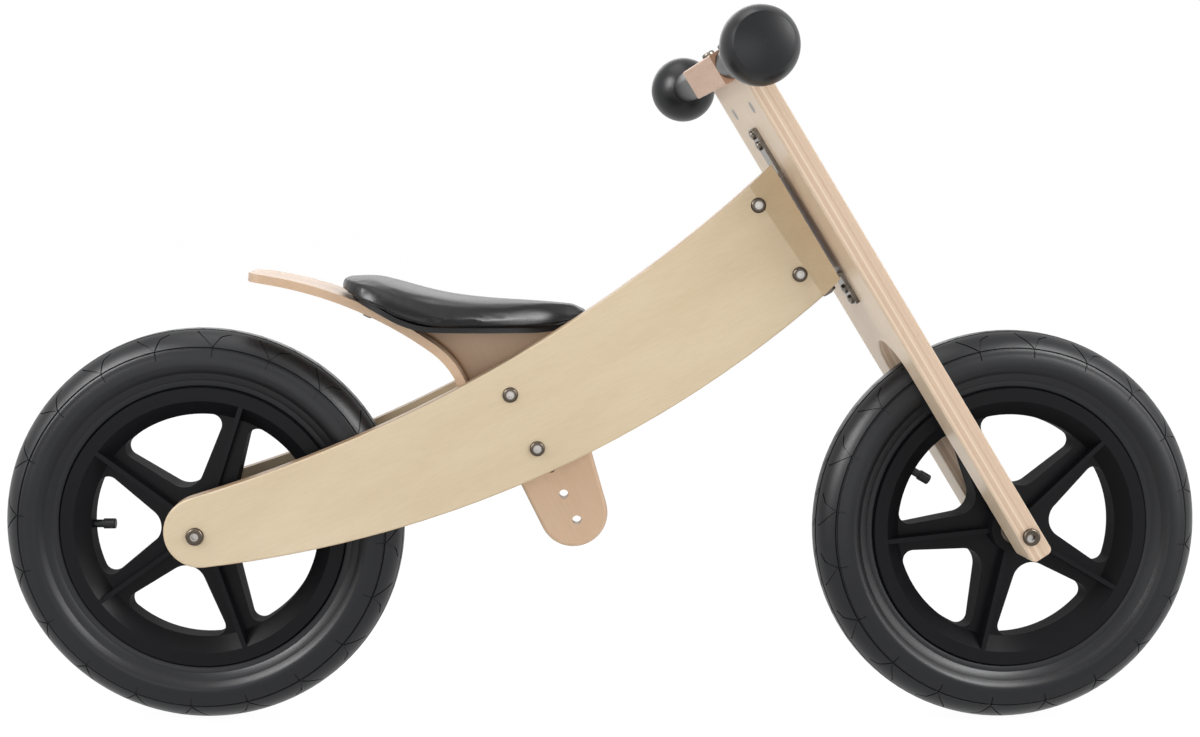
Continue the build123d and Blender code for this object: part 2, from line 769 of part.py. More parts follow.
with BuildPart() as rim:
    with BuildSketch(Plane.XY):
        with BuildLine():
            Polyline(
                (hub_bore, 0),
                (hub_bore, half_hub - bearing_width),
                (bearing_radius, half_hub - bearing_width),
                (bearing_radius, half_hub),
                (hub_radius, half_hub),
                (hub_radius, web_root),
                (window_radius, web_tip),
                (step_radius, half_rim),
                (flange_radius, half_rim),
                (flange_radius, bead_wall),
                (bead_radius, bead_wall),
                (bead_radius, half_well),
                (well_radius, half_well),
                (well_radius, 0),
                (hub_bore, 0),
            )
        make_face()
        mirror(about=Plane.XZ)
    revolve(axis=Axis.Y)
    with BuildSketch(Plane.XZ.offset(half_hub)):
        with PolarLocations(0, spoke_count):
            add(window.sketch)
    extrude(amount=-hub_length, mode=Mode.SUBTRACT)
    for angle in spoke_angles:
        with BuildSketch(spoke_plane(angle)):
            Polygon(
                (hub_radius - rib_width, rib_root),
                (step_radius, half_rim),
                (step_radius, -half_rim),
                (hub_radius - rib_width, -rib_root),
                align=None,
            )
        extrude(amount=rib_width / 2, both=True)
    with BuildSketch(Plane.YZ.offset(window_radius - web_tip)):
        Circle(valve_radius + valve_gap)
    extrude(amount=flange_radius - window_radius + web_tip, mode=Mode.SUBTRACT)
    with BuildSketch(Plane.XZ.offset(half_hub)):
        Circle(hub_bore)
    extrude(amount=-hub_length, mode=Mode.SUBTRACT)

bearings = ring_pair(axle_radius + running, bearing_radius, half_hub - bearing_width, half_hub)


wheel_pieces = {
    "tyre": tyre,
    "tube": tube,
    "rim": rim,
    "bearings": bearings,
    "valve": valve,
    "valve_cap": valve_cap,
}


def write_wheel(name, where):
    """The wheel's six nodes, with the axle's middle at the given place."""
    for piece_name, piece in wheel_pieces.items():
        write(piece, f"{name}_{piece_name}", where)


write_wheel("rear", rear_axle * Rot(0, -rear_valve_angle, 0))
write_wheel("front", steered * Rot(0, head_angle - front_valve_angle, 0))

# ---------------------------------------------------------------- axles
axle_sleeve_length = half_hub - bearing_width - side_gap


def write_axle(name, half_width, where):
    """An axle through the given half width, with the sleeve between its wheel's bearings."""
    names = (f"{name}_axle_bolt", f"{name}_axle_nut")
    write_cross_bolts(names, half_width, half_width, [(0, 0)], axle_radius, where)
    sleeve = ring(axle_radius + running, axle_radius + sleeve_wall, -axle_sleeve_length, axle_sleeve_length)
    write(sleeve, f"{name}_axle_sleeve", where)


write_axle("rear", axle_seat, rear_axle)
write_axle("front", half_board, steered)
planks_inside = [rear_axle.inverse() * slab(side, plank_spacing) for side in (-1, 1)]
with BuildPart() as rear_spacers:
    add(ring_pair(axle_radius + running, spacer_radius, half_hub + side_gap, half_spacing + washer).part)
    add(planks_inside, mode=Mode.SUBTRACT)
write(rear_spacers, "rear_axle_spacers", rear_axle)
front_washers = ring_pair(axle_radius + running, washer_radius, half_hub + side_gap, slot_width / 2)
write(front_washers, "front_axle_washers", steered)

# ---------------------------------------------------------------- steering brackets, bolt and nut
bolt_seat = upper_leg + bracket_thickness + washer
nut_seat = lower_leg - bracket_thickness - washer
back_plane = Plane(origin=(rear_face - bracket_thickness, 0, 0), x_dir=(0, 1, 0), z_dir=(-1, 0, 0))
# The plane's Y axis looks down the board.
screw_heights = upper_screw_heights + lower_screw_heights
bracket_screws = screws(back_plane, [(0, -height) for height in screw_heights], screw_length)
write(bracket_screws, "bracket_screws", steered)


def bracket(seat, last_screw, way):
    """A steel angle: its flat leg starts at the seat height, the other runs up (1) or down (-1) the board."""
    tip = last_screw + way * bracket_end
    with BuildPart() as piece:
        with BuildSketch(Plane.XZ):
            Polygon(
                (rear_face, seat),
                (rear_face, tip),
                (rear_face - bracket_thickness, tip),
                (rear_face - bracket_thickness, seat + way * bracket_thickness),
                (steering_place - bracket_reach, seat + way * bracket_thickness),
                (steering_place - bracket_reach, seat),
                align=None,
            )
        extrude(amount=bracket_width / 2, both=True)
        heel = piece.edges().filter_by(Axis.Y).group_by(Axis.X)[-1].sort_by(Axis.Z)
        fillet(heel[0 if way > 0 else -1], bracket_thickness * 0.9)
        fillet(piece.edges().filter_by(Axis.Z).group_by(Axis.X)[0], bracket_round)
        fillet(piece.edges().filter_by(Axis.X).group_by(Axis.Z)[-1 if way > 0 else 0], bracket_thickness)
        with BuildSketch(Plane.XY.offset(seat)):
            with Locations(axis_spot):
                Circle(axle_radius)
        extrude(amount=way * bracket_thickness, mode=Mode.SUBTRACT)
        add(bracket_screws.part, mode=Mode.SUBTRACT)
    return piece


write(bracket(upper_leg, upper_screw_heights[-1], 1), "steering_bracket_upper", steered)
write(bracket(lower_leg, lower_screw_heights[-1], -1), "steering_bracket_lower", steered)

steering_bolt_length = bolt_seat - nut_seat + hex_height + bolt_beyond_nut
steering_bolt = button_bolts(Plane.XY.offset(bolt_seat), [axis_spot], axle_radius, steering_bolt_length)
write(steering_bolt, "steering_bolt", steered)

with BuildPart() as steering_washers:
    for low in (bolt_seat - washer, nut_seat):
        with BuildSketch(Plane.XY.offset(low)):
            with Locations(axis_spot):
                Circle(washer_radius)
                Circle(axle_radius, mode=Mode.SUBTRACT)
        extrude(amount=washer)
write(steering_washers, "steering_washers", steered)

with BuildPart() as steering_nut:
    with BuildSketch(Plane.XY.offset(nut_seat - hex_height)):
        with Locations(axis_spot):
            RegularPolygon(hex_radius, 6)
            Circle(axle_radius, mode=Mode.SUBTRACT)
    extrude(amount=hex_height)
write(steering_nut, "steering_nut", steered)

# ---------------------------------------------------------------- handlebar and its bolts
beam_front = rear_face + beam_let_in
beam_middle = beam_front - beam_depth / 2
beam_level = board_top - beam_height / 2
beam_bolt_spots = [(-beam_bolt_setback, -beam_bolt_place), (-beam_bolt_setback, beam_bolt_place)]
barrel_nut_height = board_top - barrel_nut_depth
beam_bolt_length = barrel_nut_depth + barrel_nut_radius
board_end = Plane.XY.offset(board_top)
handlebar_bolts = button_bolts(board_end, beam_bolt_spots, beam_bolt_radius, beam_bolt_length)
write(handlebar_bolts, "handlebar_bolts", steered)

with BuildPart() as barrel_nuts:
    with BuildSketch(Plane.YZ.offset(rear_face)):
        with Locations(*[(spot[1], barrel_nut_height) for spot in beam_bolt_spots]):
            Circle(barrel_nut_radius)
    extrude(amount=barrel_nut_length)
    barrel_space = barrel_nuts.part
    add(handlebar_bolts.part, mode=Mode.SUBTRACT)
write(barrel_nuts, "handlebar_barrel_nuts", steered)

with BuildPart() as handlebar:
    with BuildSketch(Plane.XZ.offset(-half_board)):
        with Locations((beam_middle, beam_level)):
            Rectangle(beam_depth, beam_height)
    extrude(amount=board_width)
    fillet(handlebar.edges().filter_by(Axis.Y), beam_round)
    with BuildSketch(Plane.XZ.offset(-grip_pin_end)):
        with Locations((beam_middle, beam_level)):
            Circle(grip_pin_radius)
    extrude(amount=2 * grip_pin_end)
    add(handlebar_bolts.part, mode=Mode.SUBTRACT)
write(handlebar, "handlebar", steered)

# ---------------------------------------------------------------- grips
grip_start = half_board + soft_gap
ball_low = grip_ball_place - (grip_ball_radius**2 - grip_radius**2) ** 0.5
ball_end = ((grip_ball_radius**2 - (grip_end - grip_ball_place) ** 2) ** 0.5, grip_end)
grip_bore = grip_pin_radius + soft_gap
with BuildPart() as grip:
    with BuildSketch(Plane.XY):
        with BuildLine():
            Polyline(
                (0, grip_end + grip_dome),
                (0, grip_pin_end + soft_gap),
                (grip_bore, grip_pin_end + soft_gap),
                (grip_bore, grip_start),
                (grip_radius, grip_start),
                (grip_radius, ball_low),
            )
            ThreePointArc((grip_radius, ball_low), (grip_ball_radius, grip_ball_place), ball_end)
            TangentArc((0, grip_end + grip_dome), ball_end, tangent=(1, 0))
        make_face()
    revolve(axis=Axis.Y)
beam_place = steered * Pos(beam_middle, 0, beam_level)
write(grip, "grip_left", beam_place)
write(grip, "grip_right", beam_place * Rot(0, 0, 180))

# ---------------------------------------------------------------- fork board
slot_centre = slot_top - slot_width / 2
with BuildPart() as fork_board:
    with BuildSketch(Plane.YZ.offset(rear_face)):
        with Locations((0, (board_top - board_foot) / 2)):
            Rectangle(board_width, board_top + board_foot)
        with Locations((0, slot_centre)):
            Circle(slot_width / 2, mode=Mode.SUBTRACT)
        with Locations((0, slot_centre / 2 - board_foot)):
            Rectangle(slot_width, slot_centre + 2 * board_foot, mode=Mode.SUBTRACT)
    extrude(amount=board_thickness)
    fillet(fork_board.edges().filter_by(Axis.Y).group_by(Axis.Z)[0], foot_round)
    fillet(fork_board.faces().filter_by(Axis.X).edges(), board_round)
    with BuildSketch(Plane.XZ.offset(-half_board)):
        with Locations((beam_middle, beam_level)):
            Rectangle(beam_depth, beam_height)
    extrude(amount=board_width, mode=Mode.SUBTRACT)
    add([bolt_space(half_board, half_board, [(0, 0)], axle_radius), barrel_space], mode=Mode.SUBTRACT)
    add([bracket_screws.part, handlebar_bolts.part], mode=Mode.SUBTRACT)
write(fork_board, "fork_board", steered)
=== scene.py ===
# %% [markdown]
# # A wooden balance bike, dressed
# The bike's construction comes in as a fixed frame of solids, one for every plank, bolt and wheel part.
# This lesson gives them their looks: light, wood, rubber and metal, and new meshes where the real thing has
# more shape than the plain solid, such as the tyres' tread and the padded saddle.
# Everything is in metres: X runs forward, Y to the rider's left, Z up, and the ground is at zero.

# %% Load the frame
import json
from math import atan, cos, degrees, pi, radians, sin

import bmesh
import bpy
from mathutils import Matrix, Vector
from mathutils.bvhtree import BVHTree


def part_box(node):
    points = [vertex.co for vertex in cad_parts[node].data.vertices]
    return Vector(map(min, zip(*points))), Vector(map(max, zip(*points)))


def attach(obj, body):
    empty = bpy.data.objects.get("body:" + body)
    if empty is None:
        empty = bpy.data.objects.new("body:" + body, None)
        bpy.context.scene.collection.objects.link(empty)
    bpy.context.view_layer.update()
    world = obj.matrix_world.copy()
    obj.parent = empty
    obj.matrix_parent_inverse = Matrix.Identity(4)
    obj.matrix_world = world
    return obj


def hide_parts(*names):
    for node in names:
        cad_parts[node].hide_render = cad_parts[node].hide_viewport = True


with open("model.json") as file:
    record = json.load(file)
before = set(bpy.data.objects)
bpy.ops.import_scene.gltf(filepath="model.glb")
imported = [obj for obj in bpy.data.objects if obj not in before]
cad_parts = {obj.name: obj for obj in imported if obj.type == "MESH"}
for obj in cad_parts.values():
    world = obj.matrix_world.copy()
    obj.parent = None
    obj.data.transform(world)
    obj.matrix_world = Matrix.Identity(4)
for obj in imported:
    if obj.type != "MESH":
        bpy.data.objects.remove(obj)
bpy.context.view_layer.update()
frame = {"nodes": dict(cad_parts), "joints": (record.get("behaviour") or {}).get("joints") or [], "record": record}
nodes = frame["nodes"]
joints = {joint["name"]: joint for joint in frame["joints"]}
slots = {part["node"]: part["material_slot"] for part in frame["record"]["subparts"]}

# %% [markdown]
# ## Camera
# A product picture of a bike is taken from the side, a little above the axles, with a lens that is long enough
# to keep both wheels round. The camera is a plain turn about Z, then a tilt, then a slight roll. Blender's
# camera looks down its own -Z, so a quarter turn about X comes last.

# %% The camera stands to the right of the bike
lens_mm = 52.74
stand = Vector((-0.0463, -1.3456, 0.4322))
pan, tilt, roll = radians(-1.66), radians(-6.69), radians(-0.39)
turn = Matrix.Rotation(pan, 4, "Z") @ Matrix.Rotation(tilt, 4, "X") @ Matrix.Rotation(roll, 4, "Y")
lens = bpy.data.cameras.new("side_camera")
lens.lens = lens_mm
camera = bpy.data.objects.new("side_camera", lens)
bpy.context.scene.collection.objects.link(camera)
camera.matrix_world = Matrix.Translation(stand) @ turn @ Matrix.Rotation(pi / 2, 4, "X")
bpy.context.scene.camera = camera
print("camera at", tuple(stand), "lens", lens_mm, "mm")

# %% [markdown]
# ## Sums on sockets
# A shader's maths is easier to read as a formula than as a chain of boxes. `Value` wraps one output socket, and
# a sum written on it adds the Math node that does it. `Finish` is a material whose `add` makes any other node:
# its settings first, because they can change its sockets, and then its values or links.

# %% One class for a socket, one for a material
class Value:
    """An output socket that can be added, subtracted, multiplied and raised to a power."""

    def __init__(self, finish, socket):
        self.finish, self.socket = finish, socket

    def sum(self, kind, *terms):
        return self.finish.add("Math", {"operation": kind}, dict(enumerate(terms)))

    def __add__(self, other):
        return self.sum("ADD", self, other)

    def __sub__(self, other):
        return self.sum("SUBTRACT", self, other)

    def __rsub__(self, other):
        return self.sum("SUBTRACT", other, self)

    def __mul__(self, other):
        return self.sum("MULTIPLY", self, other)

    def __pow__(self, other):
        return self.sum("POWER", self, other)

    def __abs__(self):
        return self.sum("ABSOLUTE", self)


class Finish:
    """A material, or the world, built node by node from one output back."""

    def __init__(self, owner):
        owner.use_nodes = True
        self.owner, self.tree = owner, owner.node_tree
        self.tree.nodes.clear()

    def add(self, kind, settings=None, inputs=None, output=0):
        node = self.tree.nodes.new("ShaderNode" + kind)
        for name, setting in (settings or {}).items():
            setattr(node, name, setting)
        for place, value in (inputs or {}).items():
            sockets = node.inputs
            socket = sockets[place] if isinstance(place, int) else next(
                s for s in sockets if place in (s.identifier, s.name) and s.enabled
            )
            if isinstance(value, Value):
                self.tree.links.new(value.socket, socket)
            else:
                socket.default_value = value
        outputs = node.outputs
        found = outputs[output] if isinstance(output, int) else next(
            s for s in outputs if output in (s.identifier, s.name) and s.enabled
        )
        return Value(self, found)

    def mix(self, factor, first, second):
        """A colour from first to second, as the factor goes from 0 to 1."""
        return self.add(
            "Mix",
            {"data_type": "RGBA", "blend_type": "MIX", "clamp_factor": True},
            {"Factor_Float": factor, "A_Color": first, "B_Color": second},
            "Result_Color",
        )

    def noise(self, where, scale, detail=3.0, rough=0.5):
        inputs = {"Vector": where, "Scale": scale, "Detail": detail, "Roughness": rough}
        return self.add("TexNoise", {"noise_dimensions": "3D"}, inputs, "Fac")

    def step(self, value, low, high):
        """0 below low, 1 above high, smooth between them."""
        inputs = {"Value": value, "From Min": low, "From Max": high}
        return self.add("MapRange", {"interpolation_type": "SMOOTHSTEP"}, inputs, "Result")

    def place(self, what="Object", fold=False):
        """The point on the piece, or its normal, in the bike's own frame. Folding puts it on the left side."""
        spot = self.add("TexCoord", {}, {}, what)
        if fold:
            ahead, aside, up = (self.along(spot, axis) for axis in Matrix.Identity(3))
            spot = self.point(ahead, abs(aside), up)
        return spot

    def along(self, vector, direction):
        """How far a vector reaches along a fixed direction."""
        return self.add("VectorMath", {"operation": "DOT_PRODUCT"}, {0: vector, 1: tuple(direction)}, "Value")

    def point(self, x, y, z):
        return self.add("CombineXYZ", {}, {"X": x, "Y": y, "Z": z})

    def bump(self, height, distance, strength=1.0):
        return self.add("Bump", {}, {"Strength": strength, "Distance": distance, "Height": height})

    def surface(self, **inputs):
        """The Principled shader: input names with spaces written as underscores."""
        named = {name.replace("_", " "): value for name, value in inputs.items()}
        return self.finish_with(self.add("BsdfPrincipled", {}, named, "BSDF"))

    def finish_with(self, shader, kind="Material"):
        node = self.tree.nodes.new("ShaderNodeOutput" + kind)
        self.tree.links.new(shader.socket, node.inputs["Surface"])
        return self.owner


def new_finish(name):
    return Finish(bpy.data.materials.new(name))


def paint(red, green, blue):
    """A colour from its everyday 0 to 255 values, in the linear light that shaders work in."""
    def linear(share):
        return share / 12.92 if share <= 0.04045 else ((share + 0.055) / 1.055) ** 2.4
    return (*(linear(value / 255) for value in (red, green, blue)), 1.0)


print("paint(128, 128, 128) is", round(paint(128, 128, 128)[0], 3), "in linear light")

# %% [markdown]
# ## Studio
# A pale sweep would show its own shading, so the floor is a large flat disc. Camera, mirror and glass rays see
# it near white, while the light that it throws back on the bike stays that of a plain matt board. It keeps the
# bike's soft shadow. The world does the same: white to look at, and a soft grey light on the bike.

# %% World and floor
def seen(finish):
    """1 for the rays that look at the backdrop, directly, in a mirror or through glass."""
    camera_ray, glossy, through = (
        finish.add("LightPath", {}, {}, f"Is {kind} Ray") for kind in ("Camera", "Glossy", "Transmission")
    )
    return glossy.sum("MAXIMUM", glossy.sum("MAXIMUM", camera_ray, glossy), through)


world_light = 0.42     # on the bike, where the backdrop itself is 1
board_grey = 0.8
floor_white = 1.07
floor_share = 0.9      # of the white in what looks at the floor
air = Finish(bpy.data.worlds.new("studio"))
strength = seen(air) * (1 - world_light) + world_light
glow = air.add("Background", {}, {"Color": (1, 1, 1, 1), "Strength": strength})
bpy.context.scene.world = air.finish_with(glow, "World")

floor_finish = new_finish("studio_floor")
board = floor_finish.add("BsdfDiffuse", {}, {"Color": (board_grey, board_grey, board_grey, 1)})
white = floor_finish.add("Emission", {}, {"Color": (1, 1, 1, 1), "Strength": floor_white})
floor_mix = floor_finish.add("MixShader", {}, {0: seen(floor_finish) * floor_share, 1: board, 2: white})
bpy.ops.object.select_all(action="DESELECT")
bpy.ops.mesh.primitive_circle_add(vertices=96, radius=12.0, fill_type="NGON", location=(0, 0, -0.0005))
floor = bpy.context.object
floor.name = "studio_floor"
floor.data.materials.append(floor_finish.finish_with(floor_mix))
print("floor", floor.name)

# %% [markdown]
# Five soft boxes light the bike: one ahead of it and one behind it that graze the planks, a weak one beside the
# camera, one overhead and one on the far side. Two more are seen only in glossy surfaces, and draw the streaks on
# the tyres. Right and left in the boxes' names are the camera's.

# %% Soft boxes
def soft_box(name, spot, aim, width, height, watts, shine_only=False):
    """A soft box. One that gives shine only is seen in glossy surfaces and adds no other light."""
    lamp = bpy.data.lights.new(name, "AREA")
    lamp.shape, lamp.size, lamp.size_y, lamp.energy = "RECTANGLE", width, height, watts
    box = bpy.data.objects.new(name, lamp)
    bpy.context.scene.collection.objects.link(box)
    turn = (Vector(aim) - Vector(spot)).to_track_quat("-Z", "Y").to_matrix().to_4x4()
    box.matrix_world = Matrix.Translation(spot) @ turn
    box.visible_diffuse = not shine_only


bike_middle = (0.0, 0.0, 0.25)
soft_box("right_box", (2.0, -0.95, 1.0), bike_middle, 1.2, 1.6, 25)
soft_box("left_box", (-2.0, -0.8, 1.1), bike_middle, 1.0, 1.6, 17)
soft_box("front_box", (-0.3, -2.4, 0.5), bike_middle, 1.6, 1.0, 7)
soft_box("top_box", (-0.3, -0.1, 1.9), bike_middle, 1.4, 0.9, 9)
soft_box("back_box", (-0.2, 2.2, 1.2), bike_middle, 1.6, 1.2, 10)
soft_box("left_shine", (-1.3, -0.75, 1.15), (-0.3, 0.0, 0.15), 0.5, 0.9, 26, shine_only=True)
soft_box("right_shine", (1.2, -0.8, 1.35), (0.3, 0.0, 0.15), 0.5, 0.9, 30, shine_only=True)
bpy.context.scene.view_settings.view_transform = "Standard"

# %% [markdown]
# ## Plywood
# Plywood is a stack of peeled sheets. Its faces show one sheet: pale birch with faint long streaks, fine short
# pores and a slow change of tone. Its edges show them all, as light and dark lines about a millimetre and a half
# apart. Both come from three distances: along the grain, across it, and through the stack.

# %% A finish for any plywood board
satin = 0.42           # the roughness of varnished wood
wood_shine = 0.35
up_board = Vector(joints["steering"]["axis"])
front_axle = Vector(joints["front_wheel_spin"]["axis"])


def plywood(name, node, grain, plies, face, streak, edge_light, edge_dark):
    """A board's finish. Boards that stand side by side mirror each other, so both are folded on to the left."""
    finish = new_finish(name)
    board = nodes[node].data
    through = max(board.polygons, key=lambda facet: facet.area).normal.copy()
    grain = Vector(grain).normalized()
    spots = [vertex.co.copy() for vertex in board.vertices]
    paired = abs(through.y) > 0.9
    if paired:
        for spot in (through, *spots):
            spot.y = abs(spot.y)
    low, high = (extreme(spot.dot(through) for spot in spots) for extreme in (min, max))
    point = finish.place(fold=paired)
    run = finish.along(point, grain)
    side = finish.along(point, through.cross(grain))
    depth = finish.along(point, through)
    facing = finish.step(abs(finish.along(finish.place("Normal", fold=paired), through)), 0.55, 0.8)

    slow = finish.noise(finish.point(run * 4, side * 9, depth * 9), 1.0, 2.0)
    wave = finish.noise(finish.point(run * 7, side * 30, depth * 30), 1.0, 4.0, 0.6)
    fine = finish.noise(finish.point(run * 45, side * 700, depth * 700), 1.0, 3.0, 0.6)
    pores = finish.step(finish.noise(finish.point(run * 160, side * 2300, depth * 2300), 1.0, 1.0), 0.66, 0.8)
    tone = (slow - 0.5) * 0.9 + (wave - 0.5) * 0.8 + (fine - 0.5) * 0.5
    veneer = finish.mix(tone + 0.42, face, streak)
    veneer = finish.mix(pores * 0.35, veneer, streak)

    layer = (depth - low) * (plies / (high - low))
    sheet = finish.add("TexWhiteNoise", {"noise_dimensions": "1D"}, {"W": layer.sum("FLOOR", layer)}, "Value")
    odd = abs(layer.sum("PINGPONG", layer, 1.0) * 2 - 1)
    glue = finish.step(odd, 0.72, 0.98)
    fuzz = finish.noise(finish.point(run * 260, side * 260, depth * 2600), 1.0, 2.0)
    edge = finish.mix(sheet * 0.75 + (fuzz - 0.5) * 0.5, edge_light, edge_dark)
    edge = finish.mix(glue * 0.5, edge, edge_dark)

    colour = finish.mix(facing, edge, veneer)
    rough = (fine - 0.5) * 0.16 + satin
    grain_height = fine * 0.6 + (1 - pores) * 0.4 - glue * (1 - facing) * 0.6
    return finish.surface(
        Base_Color=colour, Roughness=rough, Normal=finish.bump(grain_height, 0.00012, 0.5),
        Coat_Weight=facing * 0.2, Coat_Roughness=0.3, Specular_IOR_Level=wood_shine,
    )


plank_rise, row_lean = radians(26.6), radians(26.5)
plank_grain = (cos(plank_rise), 0, sin(plank_rise))
row_grain = (sin(row_lean), 0, -cos(row_lean))
finishes = {
    "birch_plywood": plywood(
        "birch_plywood", "side_plank_right", plank_grain, 9,
        paint(226, 208, 178), paint(202, 180, 146), paint(206, 184, 154), paint(160, 124, 92),
    ),
    "tan_plywood": plywood(
        "tan_plywood", "seat_plate", row_grain, 9,
        paint(218, 188, 158), paint(198, 164, 132), paint(220, 196, 172), paint(184, 150, 124),
    ),
    "fork_plywood": plywood(
        "fork_plywood", "fork_board", up_board, 11,
        paint(228, 209, 186), paint(208, 184, 154), paint(230, 209, 186), paint(200, 166, 138),
    ),
}
print("plywood finishes:", sorted(finishes))

# %% [markdown]
# ## Solid wood
# The handlebar beam and the blocks between the planks are solid wood. Beech shows short dark flecks on its long
# faces and a slow pinkish figure, and its end grain is darker.

# %% Beech
def solid_wood(name, grain, face, streak, end):
    finish = new_finish(name)
    grain = Vector(grain).normalized()
    other = grain.orthogonal().normalized()
    point = finish.place()
    run, side, depth = (finish.along(point, way) for way in (grain, other, grain.cross(other)))
    ends = finish.step(abs(finish.along(finish.place("Normal"), grain)), 0.6, 0.85)
    wave = finish.noise(finish.point(run * 12, side * 90, depth * 90), 1.0, 4.0, 0.55)
    fine = finish.noise(finish.point(run * 60, side * 900, depth * 900), 1.0, 2.0)
    flecks = finish.step(finish.noise(finish.point(run * 240, side * 1500, depth * 1500), 1.0, 0.0), 0.64, 0.74)
    colour = finish.mix((wave - 0.5) * 1.3 + (fine - 0.5) * 0.4 + 0.4, face, streak)
    colour = finish.mix(flecks * 0.4, colour, end)
    colour = finish.mix(ends * (fine * 0.5 + 0.4), colour, end)
    return finish.surface(
        Base_Color=colour, Roughness=(fine - 0.5) * 0.15 + satin,
        Normal=finish.bump(fine - flecks * 0.5, 0.0001, 0.5), Specular_IOR_Level=wood_shine,
    )


finishes["beam_wood"] = solid_wood(
    "beam_wood", front_axle, paint(212, 177, 150), paint(192, 152, 124), paint(168, 124, 94)
)
finishes["solid_wood"] = solid_wood(
    "solid_wood", (1, 0, 0), paint(214, 182, 142), paint(190, 152, 110), paint(158, 116, 78)
)

# %% [markdown]
# ## Rubber, vinyl and plastic
# The black parts differ more in their gloss and their skin than in their colour. Tyre rubber has a soft shine
# under a little dust. The moulded rim is matt with a fine spark texture, and polished where it faces aside. The
# grips are smooth, and the saddle's vinyl is glossy, duller on top, with a shallow leather grain.

# %% Black finishes
def moulded(name, colour, dust, rough, skin, skin_depth, shine=0.3, polish=0.0):
    """A moulded material: a speckled skin, slow changes of gloss, a little dust, polished where it faces aside."""
    finish = new_finish(name)
    point = finish.place()
    slow = finish.noise(point, 14.0, 3.0)
    speck = finish.noise(point, skin, 2.0)
    coat = 0.0
    if polish:
        coat = finish.step(abs(finish.along(finish.place("Normal"), front_axle)), 0.6, 0.85) * polish
    return finish.surface(
        Base_Color=finish.mix(slow * 0.6 + speck * 0.3, colour, dust),
        Roughness=(slow - 0.5) * 0.18 + (speck - 0.5) * 0.1 + rough,
        Normal=finish.bump(speck, skin_depth, 0.6), Specular_IOR_Level=shine,
        Coat_Weight=coat, Coat_Roughness=0.28,
    )


# Each row: colour, dust, roughness, specks to the metre, depth of the skin, shine, polish of the faces.
for name, recipe in {
    "tyre_rubber": (paint(9, 10, 13), paint(21, 22, 27), 0.38, 1100, 0.00006, 0.32),
    "tube_rubber": (paint(24, 24, 26), paint(38, 38, 40), 0.6, 900, 0.00006),
    "rim_plastic": (paint(15, 15, 17), paint(26, 26, 29), 0.6, 1400, 0.00006, 0.03, 0.16),
    "black_rubber": (paint(9, 10, 13), paint(21, 22, 26), 0.34, 1200, 0.00005, 0.32),
    "black_plastic": (paint(16, 16, 18), paint(28, 28, 30), 0.45, 1400, 0.00005),
    "nylon": (paint(206, 202, 192), paint(222, 218, 208), 0.45, 900, 0.00003, 0.4),
}.items():
    finishes[name] = moulded(name, *recipe)


def vinyl(name):
    """Glossy vinyl: a shallow grain of small cells with creases between them."""
    finish = new_finish(name)
    point = finish.place()
    cells = finish.add("TexVoronoi", {"feature": "DISTANCE_TO_EDGE"}, {"Vector": point, "Scale": 620.0}, "Distance")
    crease = finish.step(cells, 0.0, 0.16)
    slow = finish.noise(point, 18, 2.0)
    duller = finish.step(finish.along(finish.place("Normal"), (0, 0, 1)), 0.1, 1.0)
    return finish.surface(
        Base_Color=finish.mix(slow, paint(9, 9, 11), paint(20, 20, 23)),
        Roughness=(slow - 0.5) * 0.06 + (1 - crease) * 0.05 + duller * 0.2 + 0.22,
        Normal=finish.bump(crease, 0.00004, 0.25),
        Specular_IOR_Level=0.28,
    )


finishes["black_vinyl"] = vinyl("black_vinyl")

# %% [markdown]
# ## Zinc-plated steel
# The bolts, nuts, brackets and screws are plated steel, with a cloudy change of gloss and fine scratches. The
# bolts' heads are bright in their middles, with painted shade round the middles for the recesses the heads sit in.
# The rest of the steel is painted darker, as painted shade for the nuts sitting in their holes.

# %% Steel
# Painted shade on the bolt heads: it begins at the first distance from a head's middle and is full at the second.
shade_ring_from_to = 0.0022, 0.0036      # distances from the middle of a bolt's head
single_bolt = 0.02                 # a node of one bolt is lower than this


def plated(name, dull, bright, duller=None, heads=()):
    """Plated steel. Beyond the middle of each bolt head the colour is painted darker: painted shade of the recess
    round the head.
    """
    finish = new_finish(name)
    spot = finish.place()
    cloud = finish.noise(spot, 160, 3.0)
    across, along, up = (finish.along(spot, axis) for axis in Matrix.Identity(3))
    scratch = finish.noise(finish.point(across * 900, along * 900, up * 90), 1.0, 2.0)
    plating = finish.mix(cloud, dull, bright)
    if heads:
        away = None
        for head in heads:
            apart = ((across - head.x) ** 2 + (along - head.y) ** 2 + (up - head.z) ** 2) ** 0.5
            away = apart.sum("MINIMUM", away, apart) if away else apart
        # Painted shade: darker beyond the middle of each bolt head, for the recess round it.
        plating = finish.mix(finish.step(away, *shade_ring_from_to), plating, duller)
    return finish.surface(
        Base_Color=plating, Metallic=1.0, Normal=finish.bump(scratch, 0.00003, 0.4),
        Roughness=(cloud - 0.5) * 0.2 + (scratch - 0.5) * 0.1 + 0.3,
    )


def head_middles(name):
    """The middles of the bolt heads' faces on the bike's right side, one for each bolt of a node."""
    spots = [vertex.co for vertex in nodes[name].data.vertices]
    low, high = min(spot.z for spot in spots), max(spot.z for spot in spots)
    groups = [spots] if high - low < single_bolt else [
        [spot for spot in spots if (spot.z > (low + high) / 2) == upper] for upper in (False, True)
    ]
    middles = []
    for group in groups:
        face = [spot for spot in group if spot.y < min(spot.y for spot in group) + 0.001]
        middles.append(sum(face, Vector()) / len(face))
    return middles


bolt_names = "head_bolts", "seat_bolts", "rear_axle_bolt", "front_axle_bolt"
middles = [middle for name in bolt_names for middle in head_middles(name)]
# The nuts, brackets and screws are painted darker than the bolt heads: painted shade for the nuts sitting in their
# holes.
finishes["steel"] = plated("steel", paint(96, 90, 84), paint(132, 126, 118))
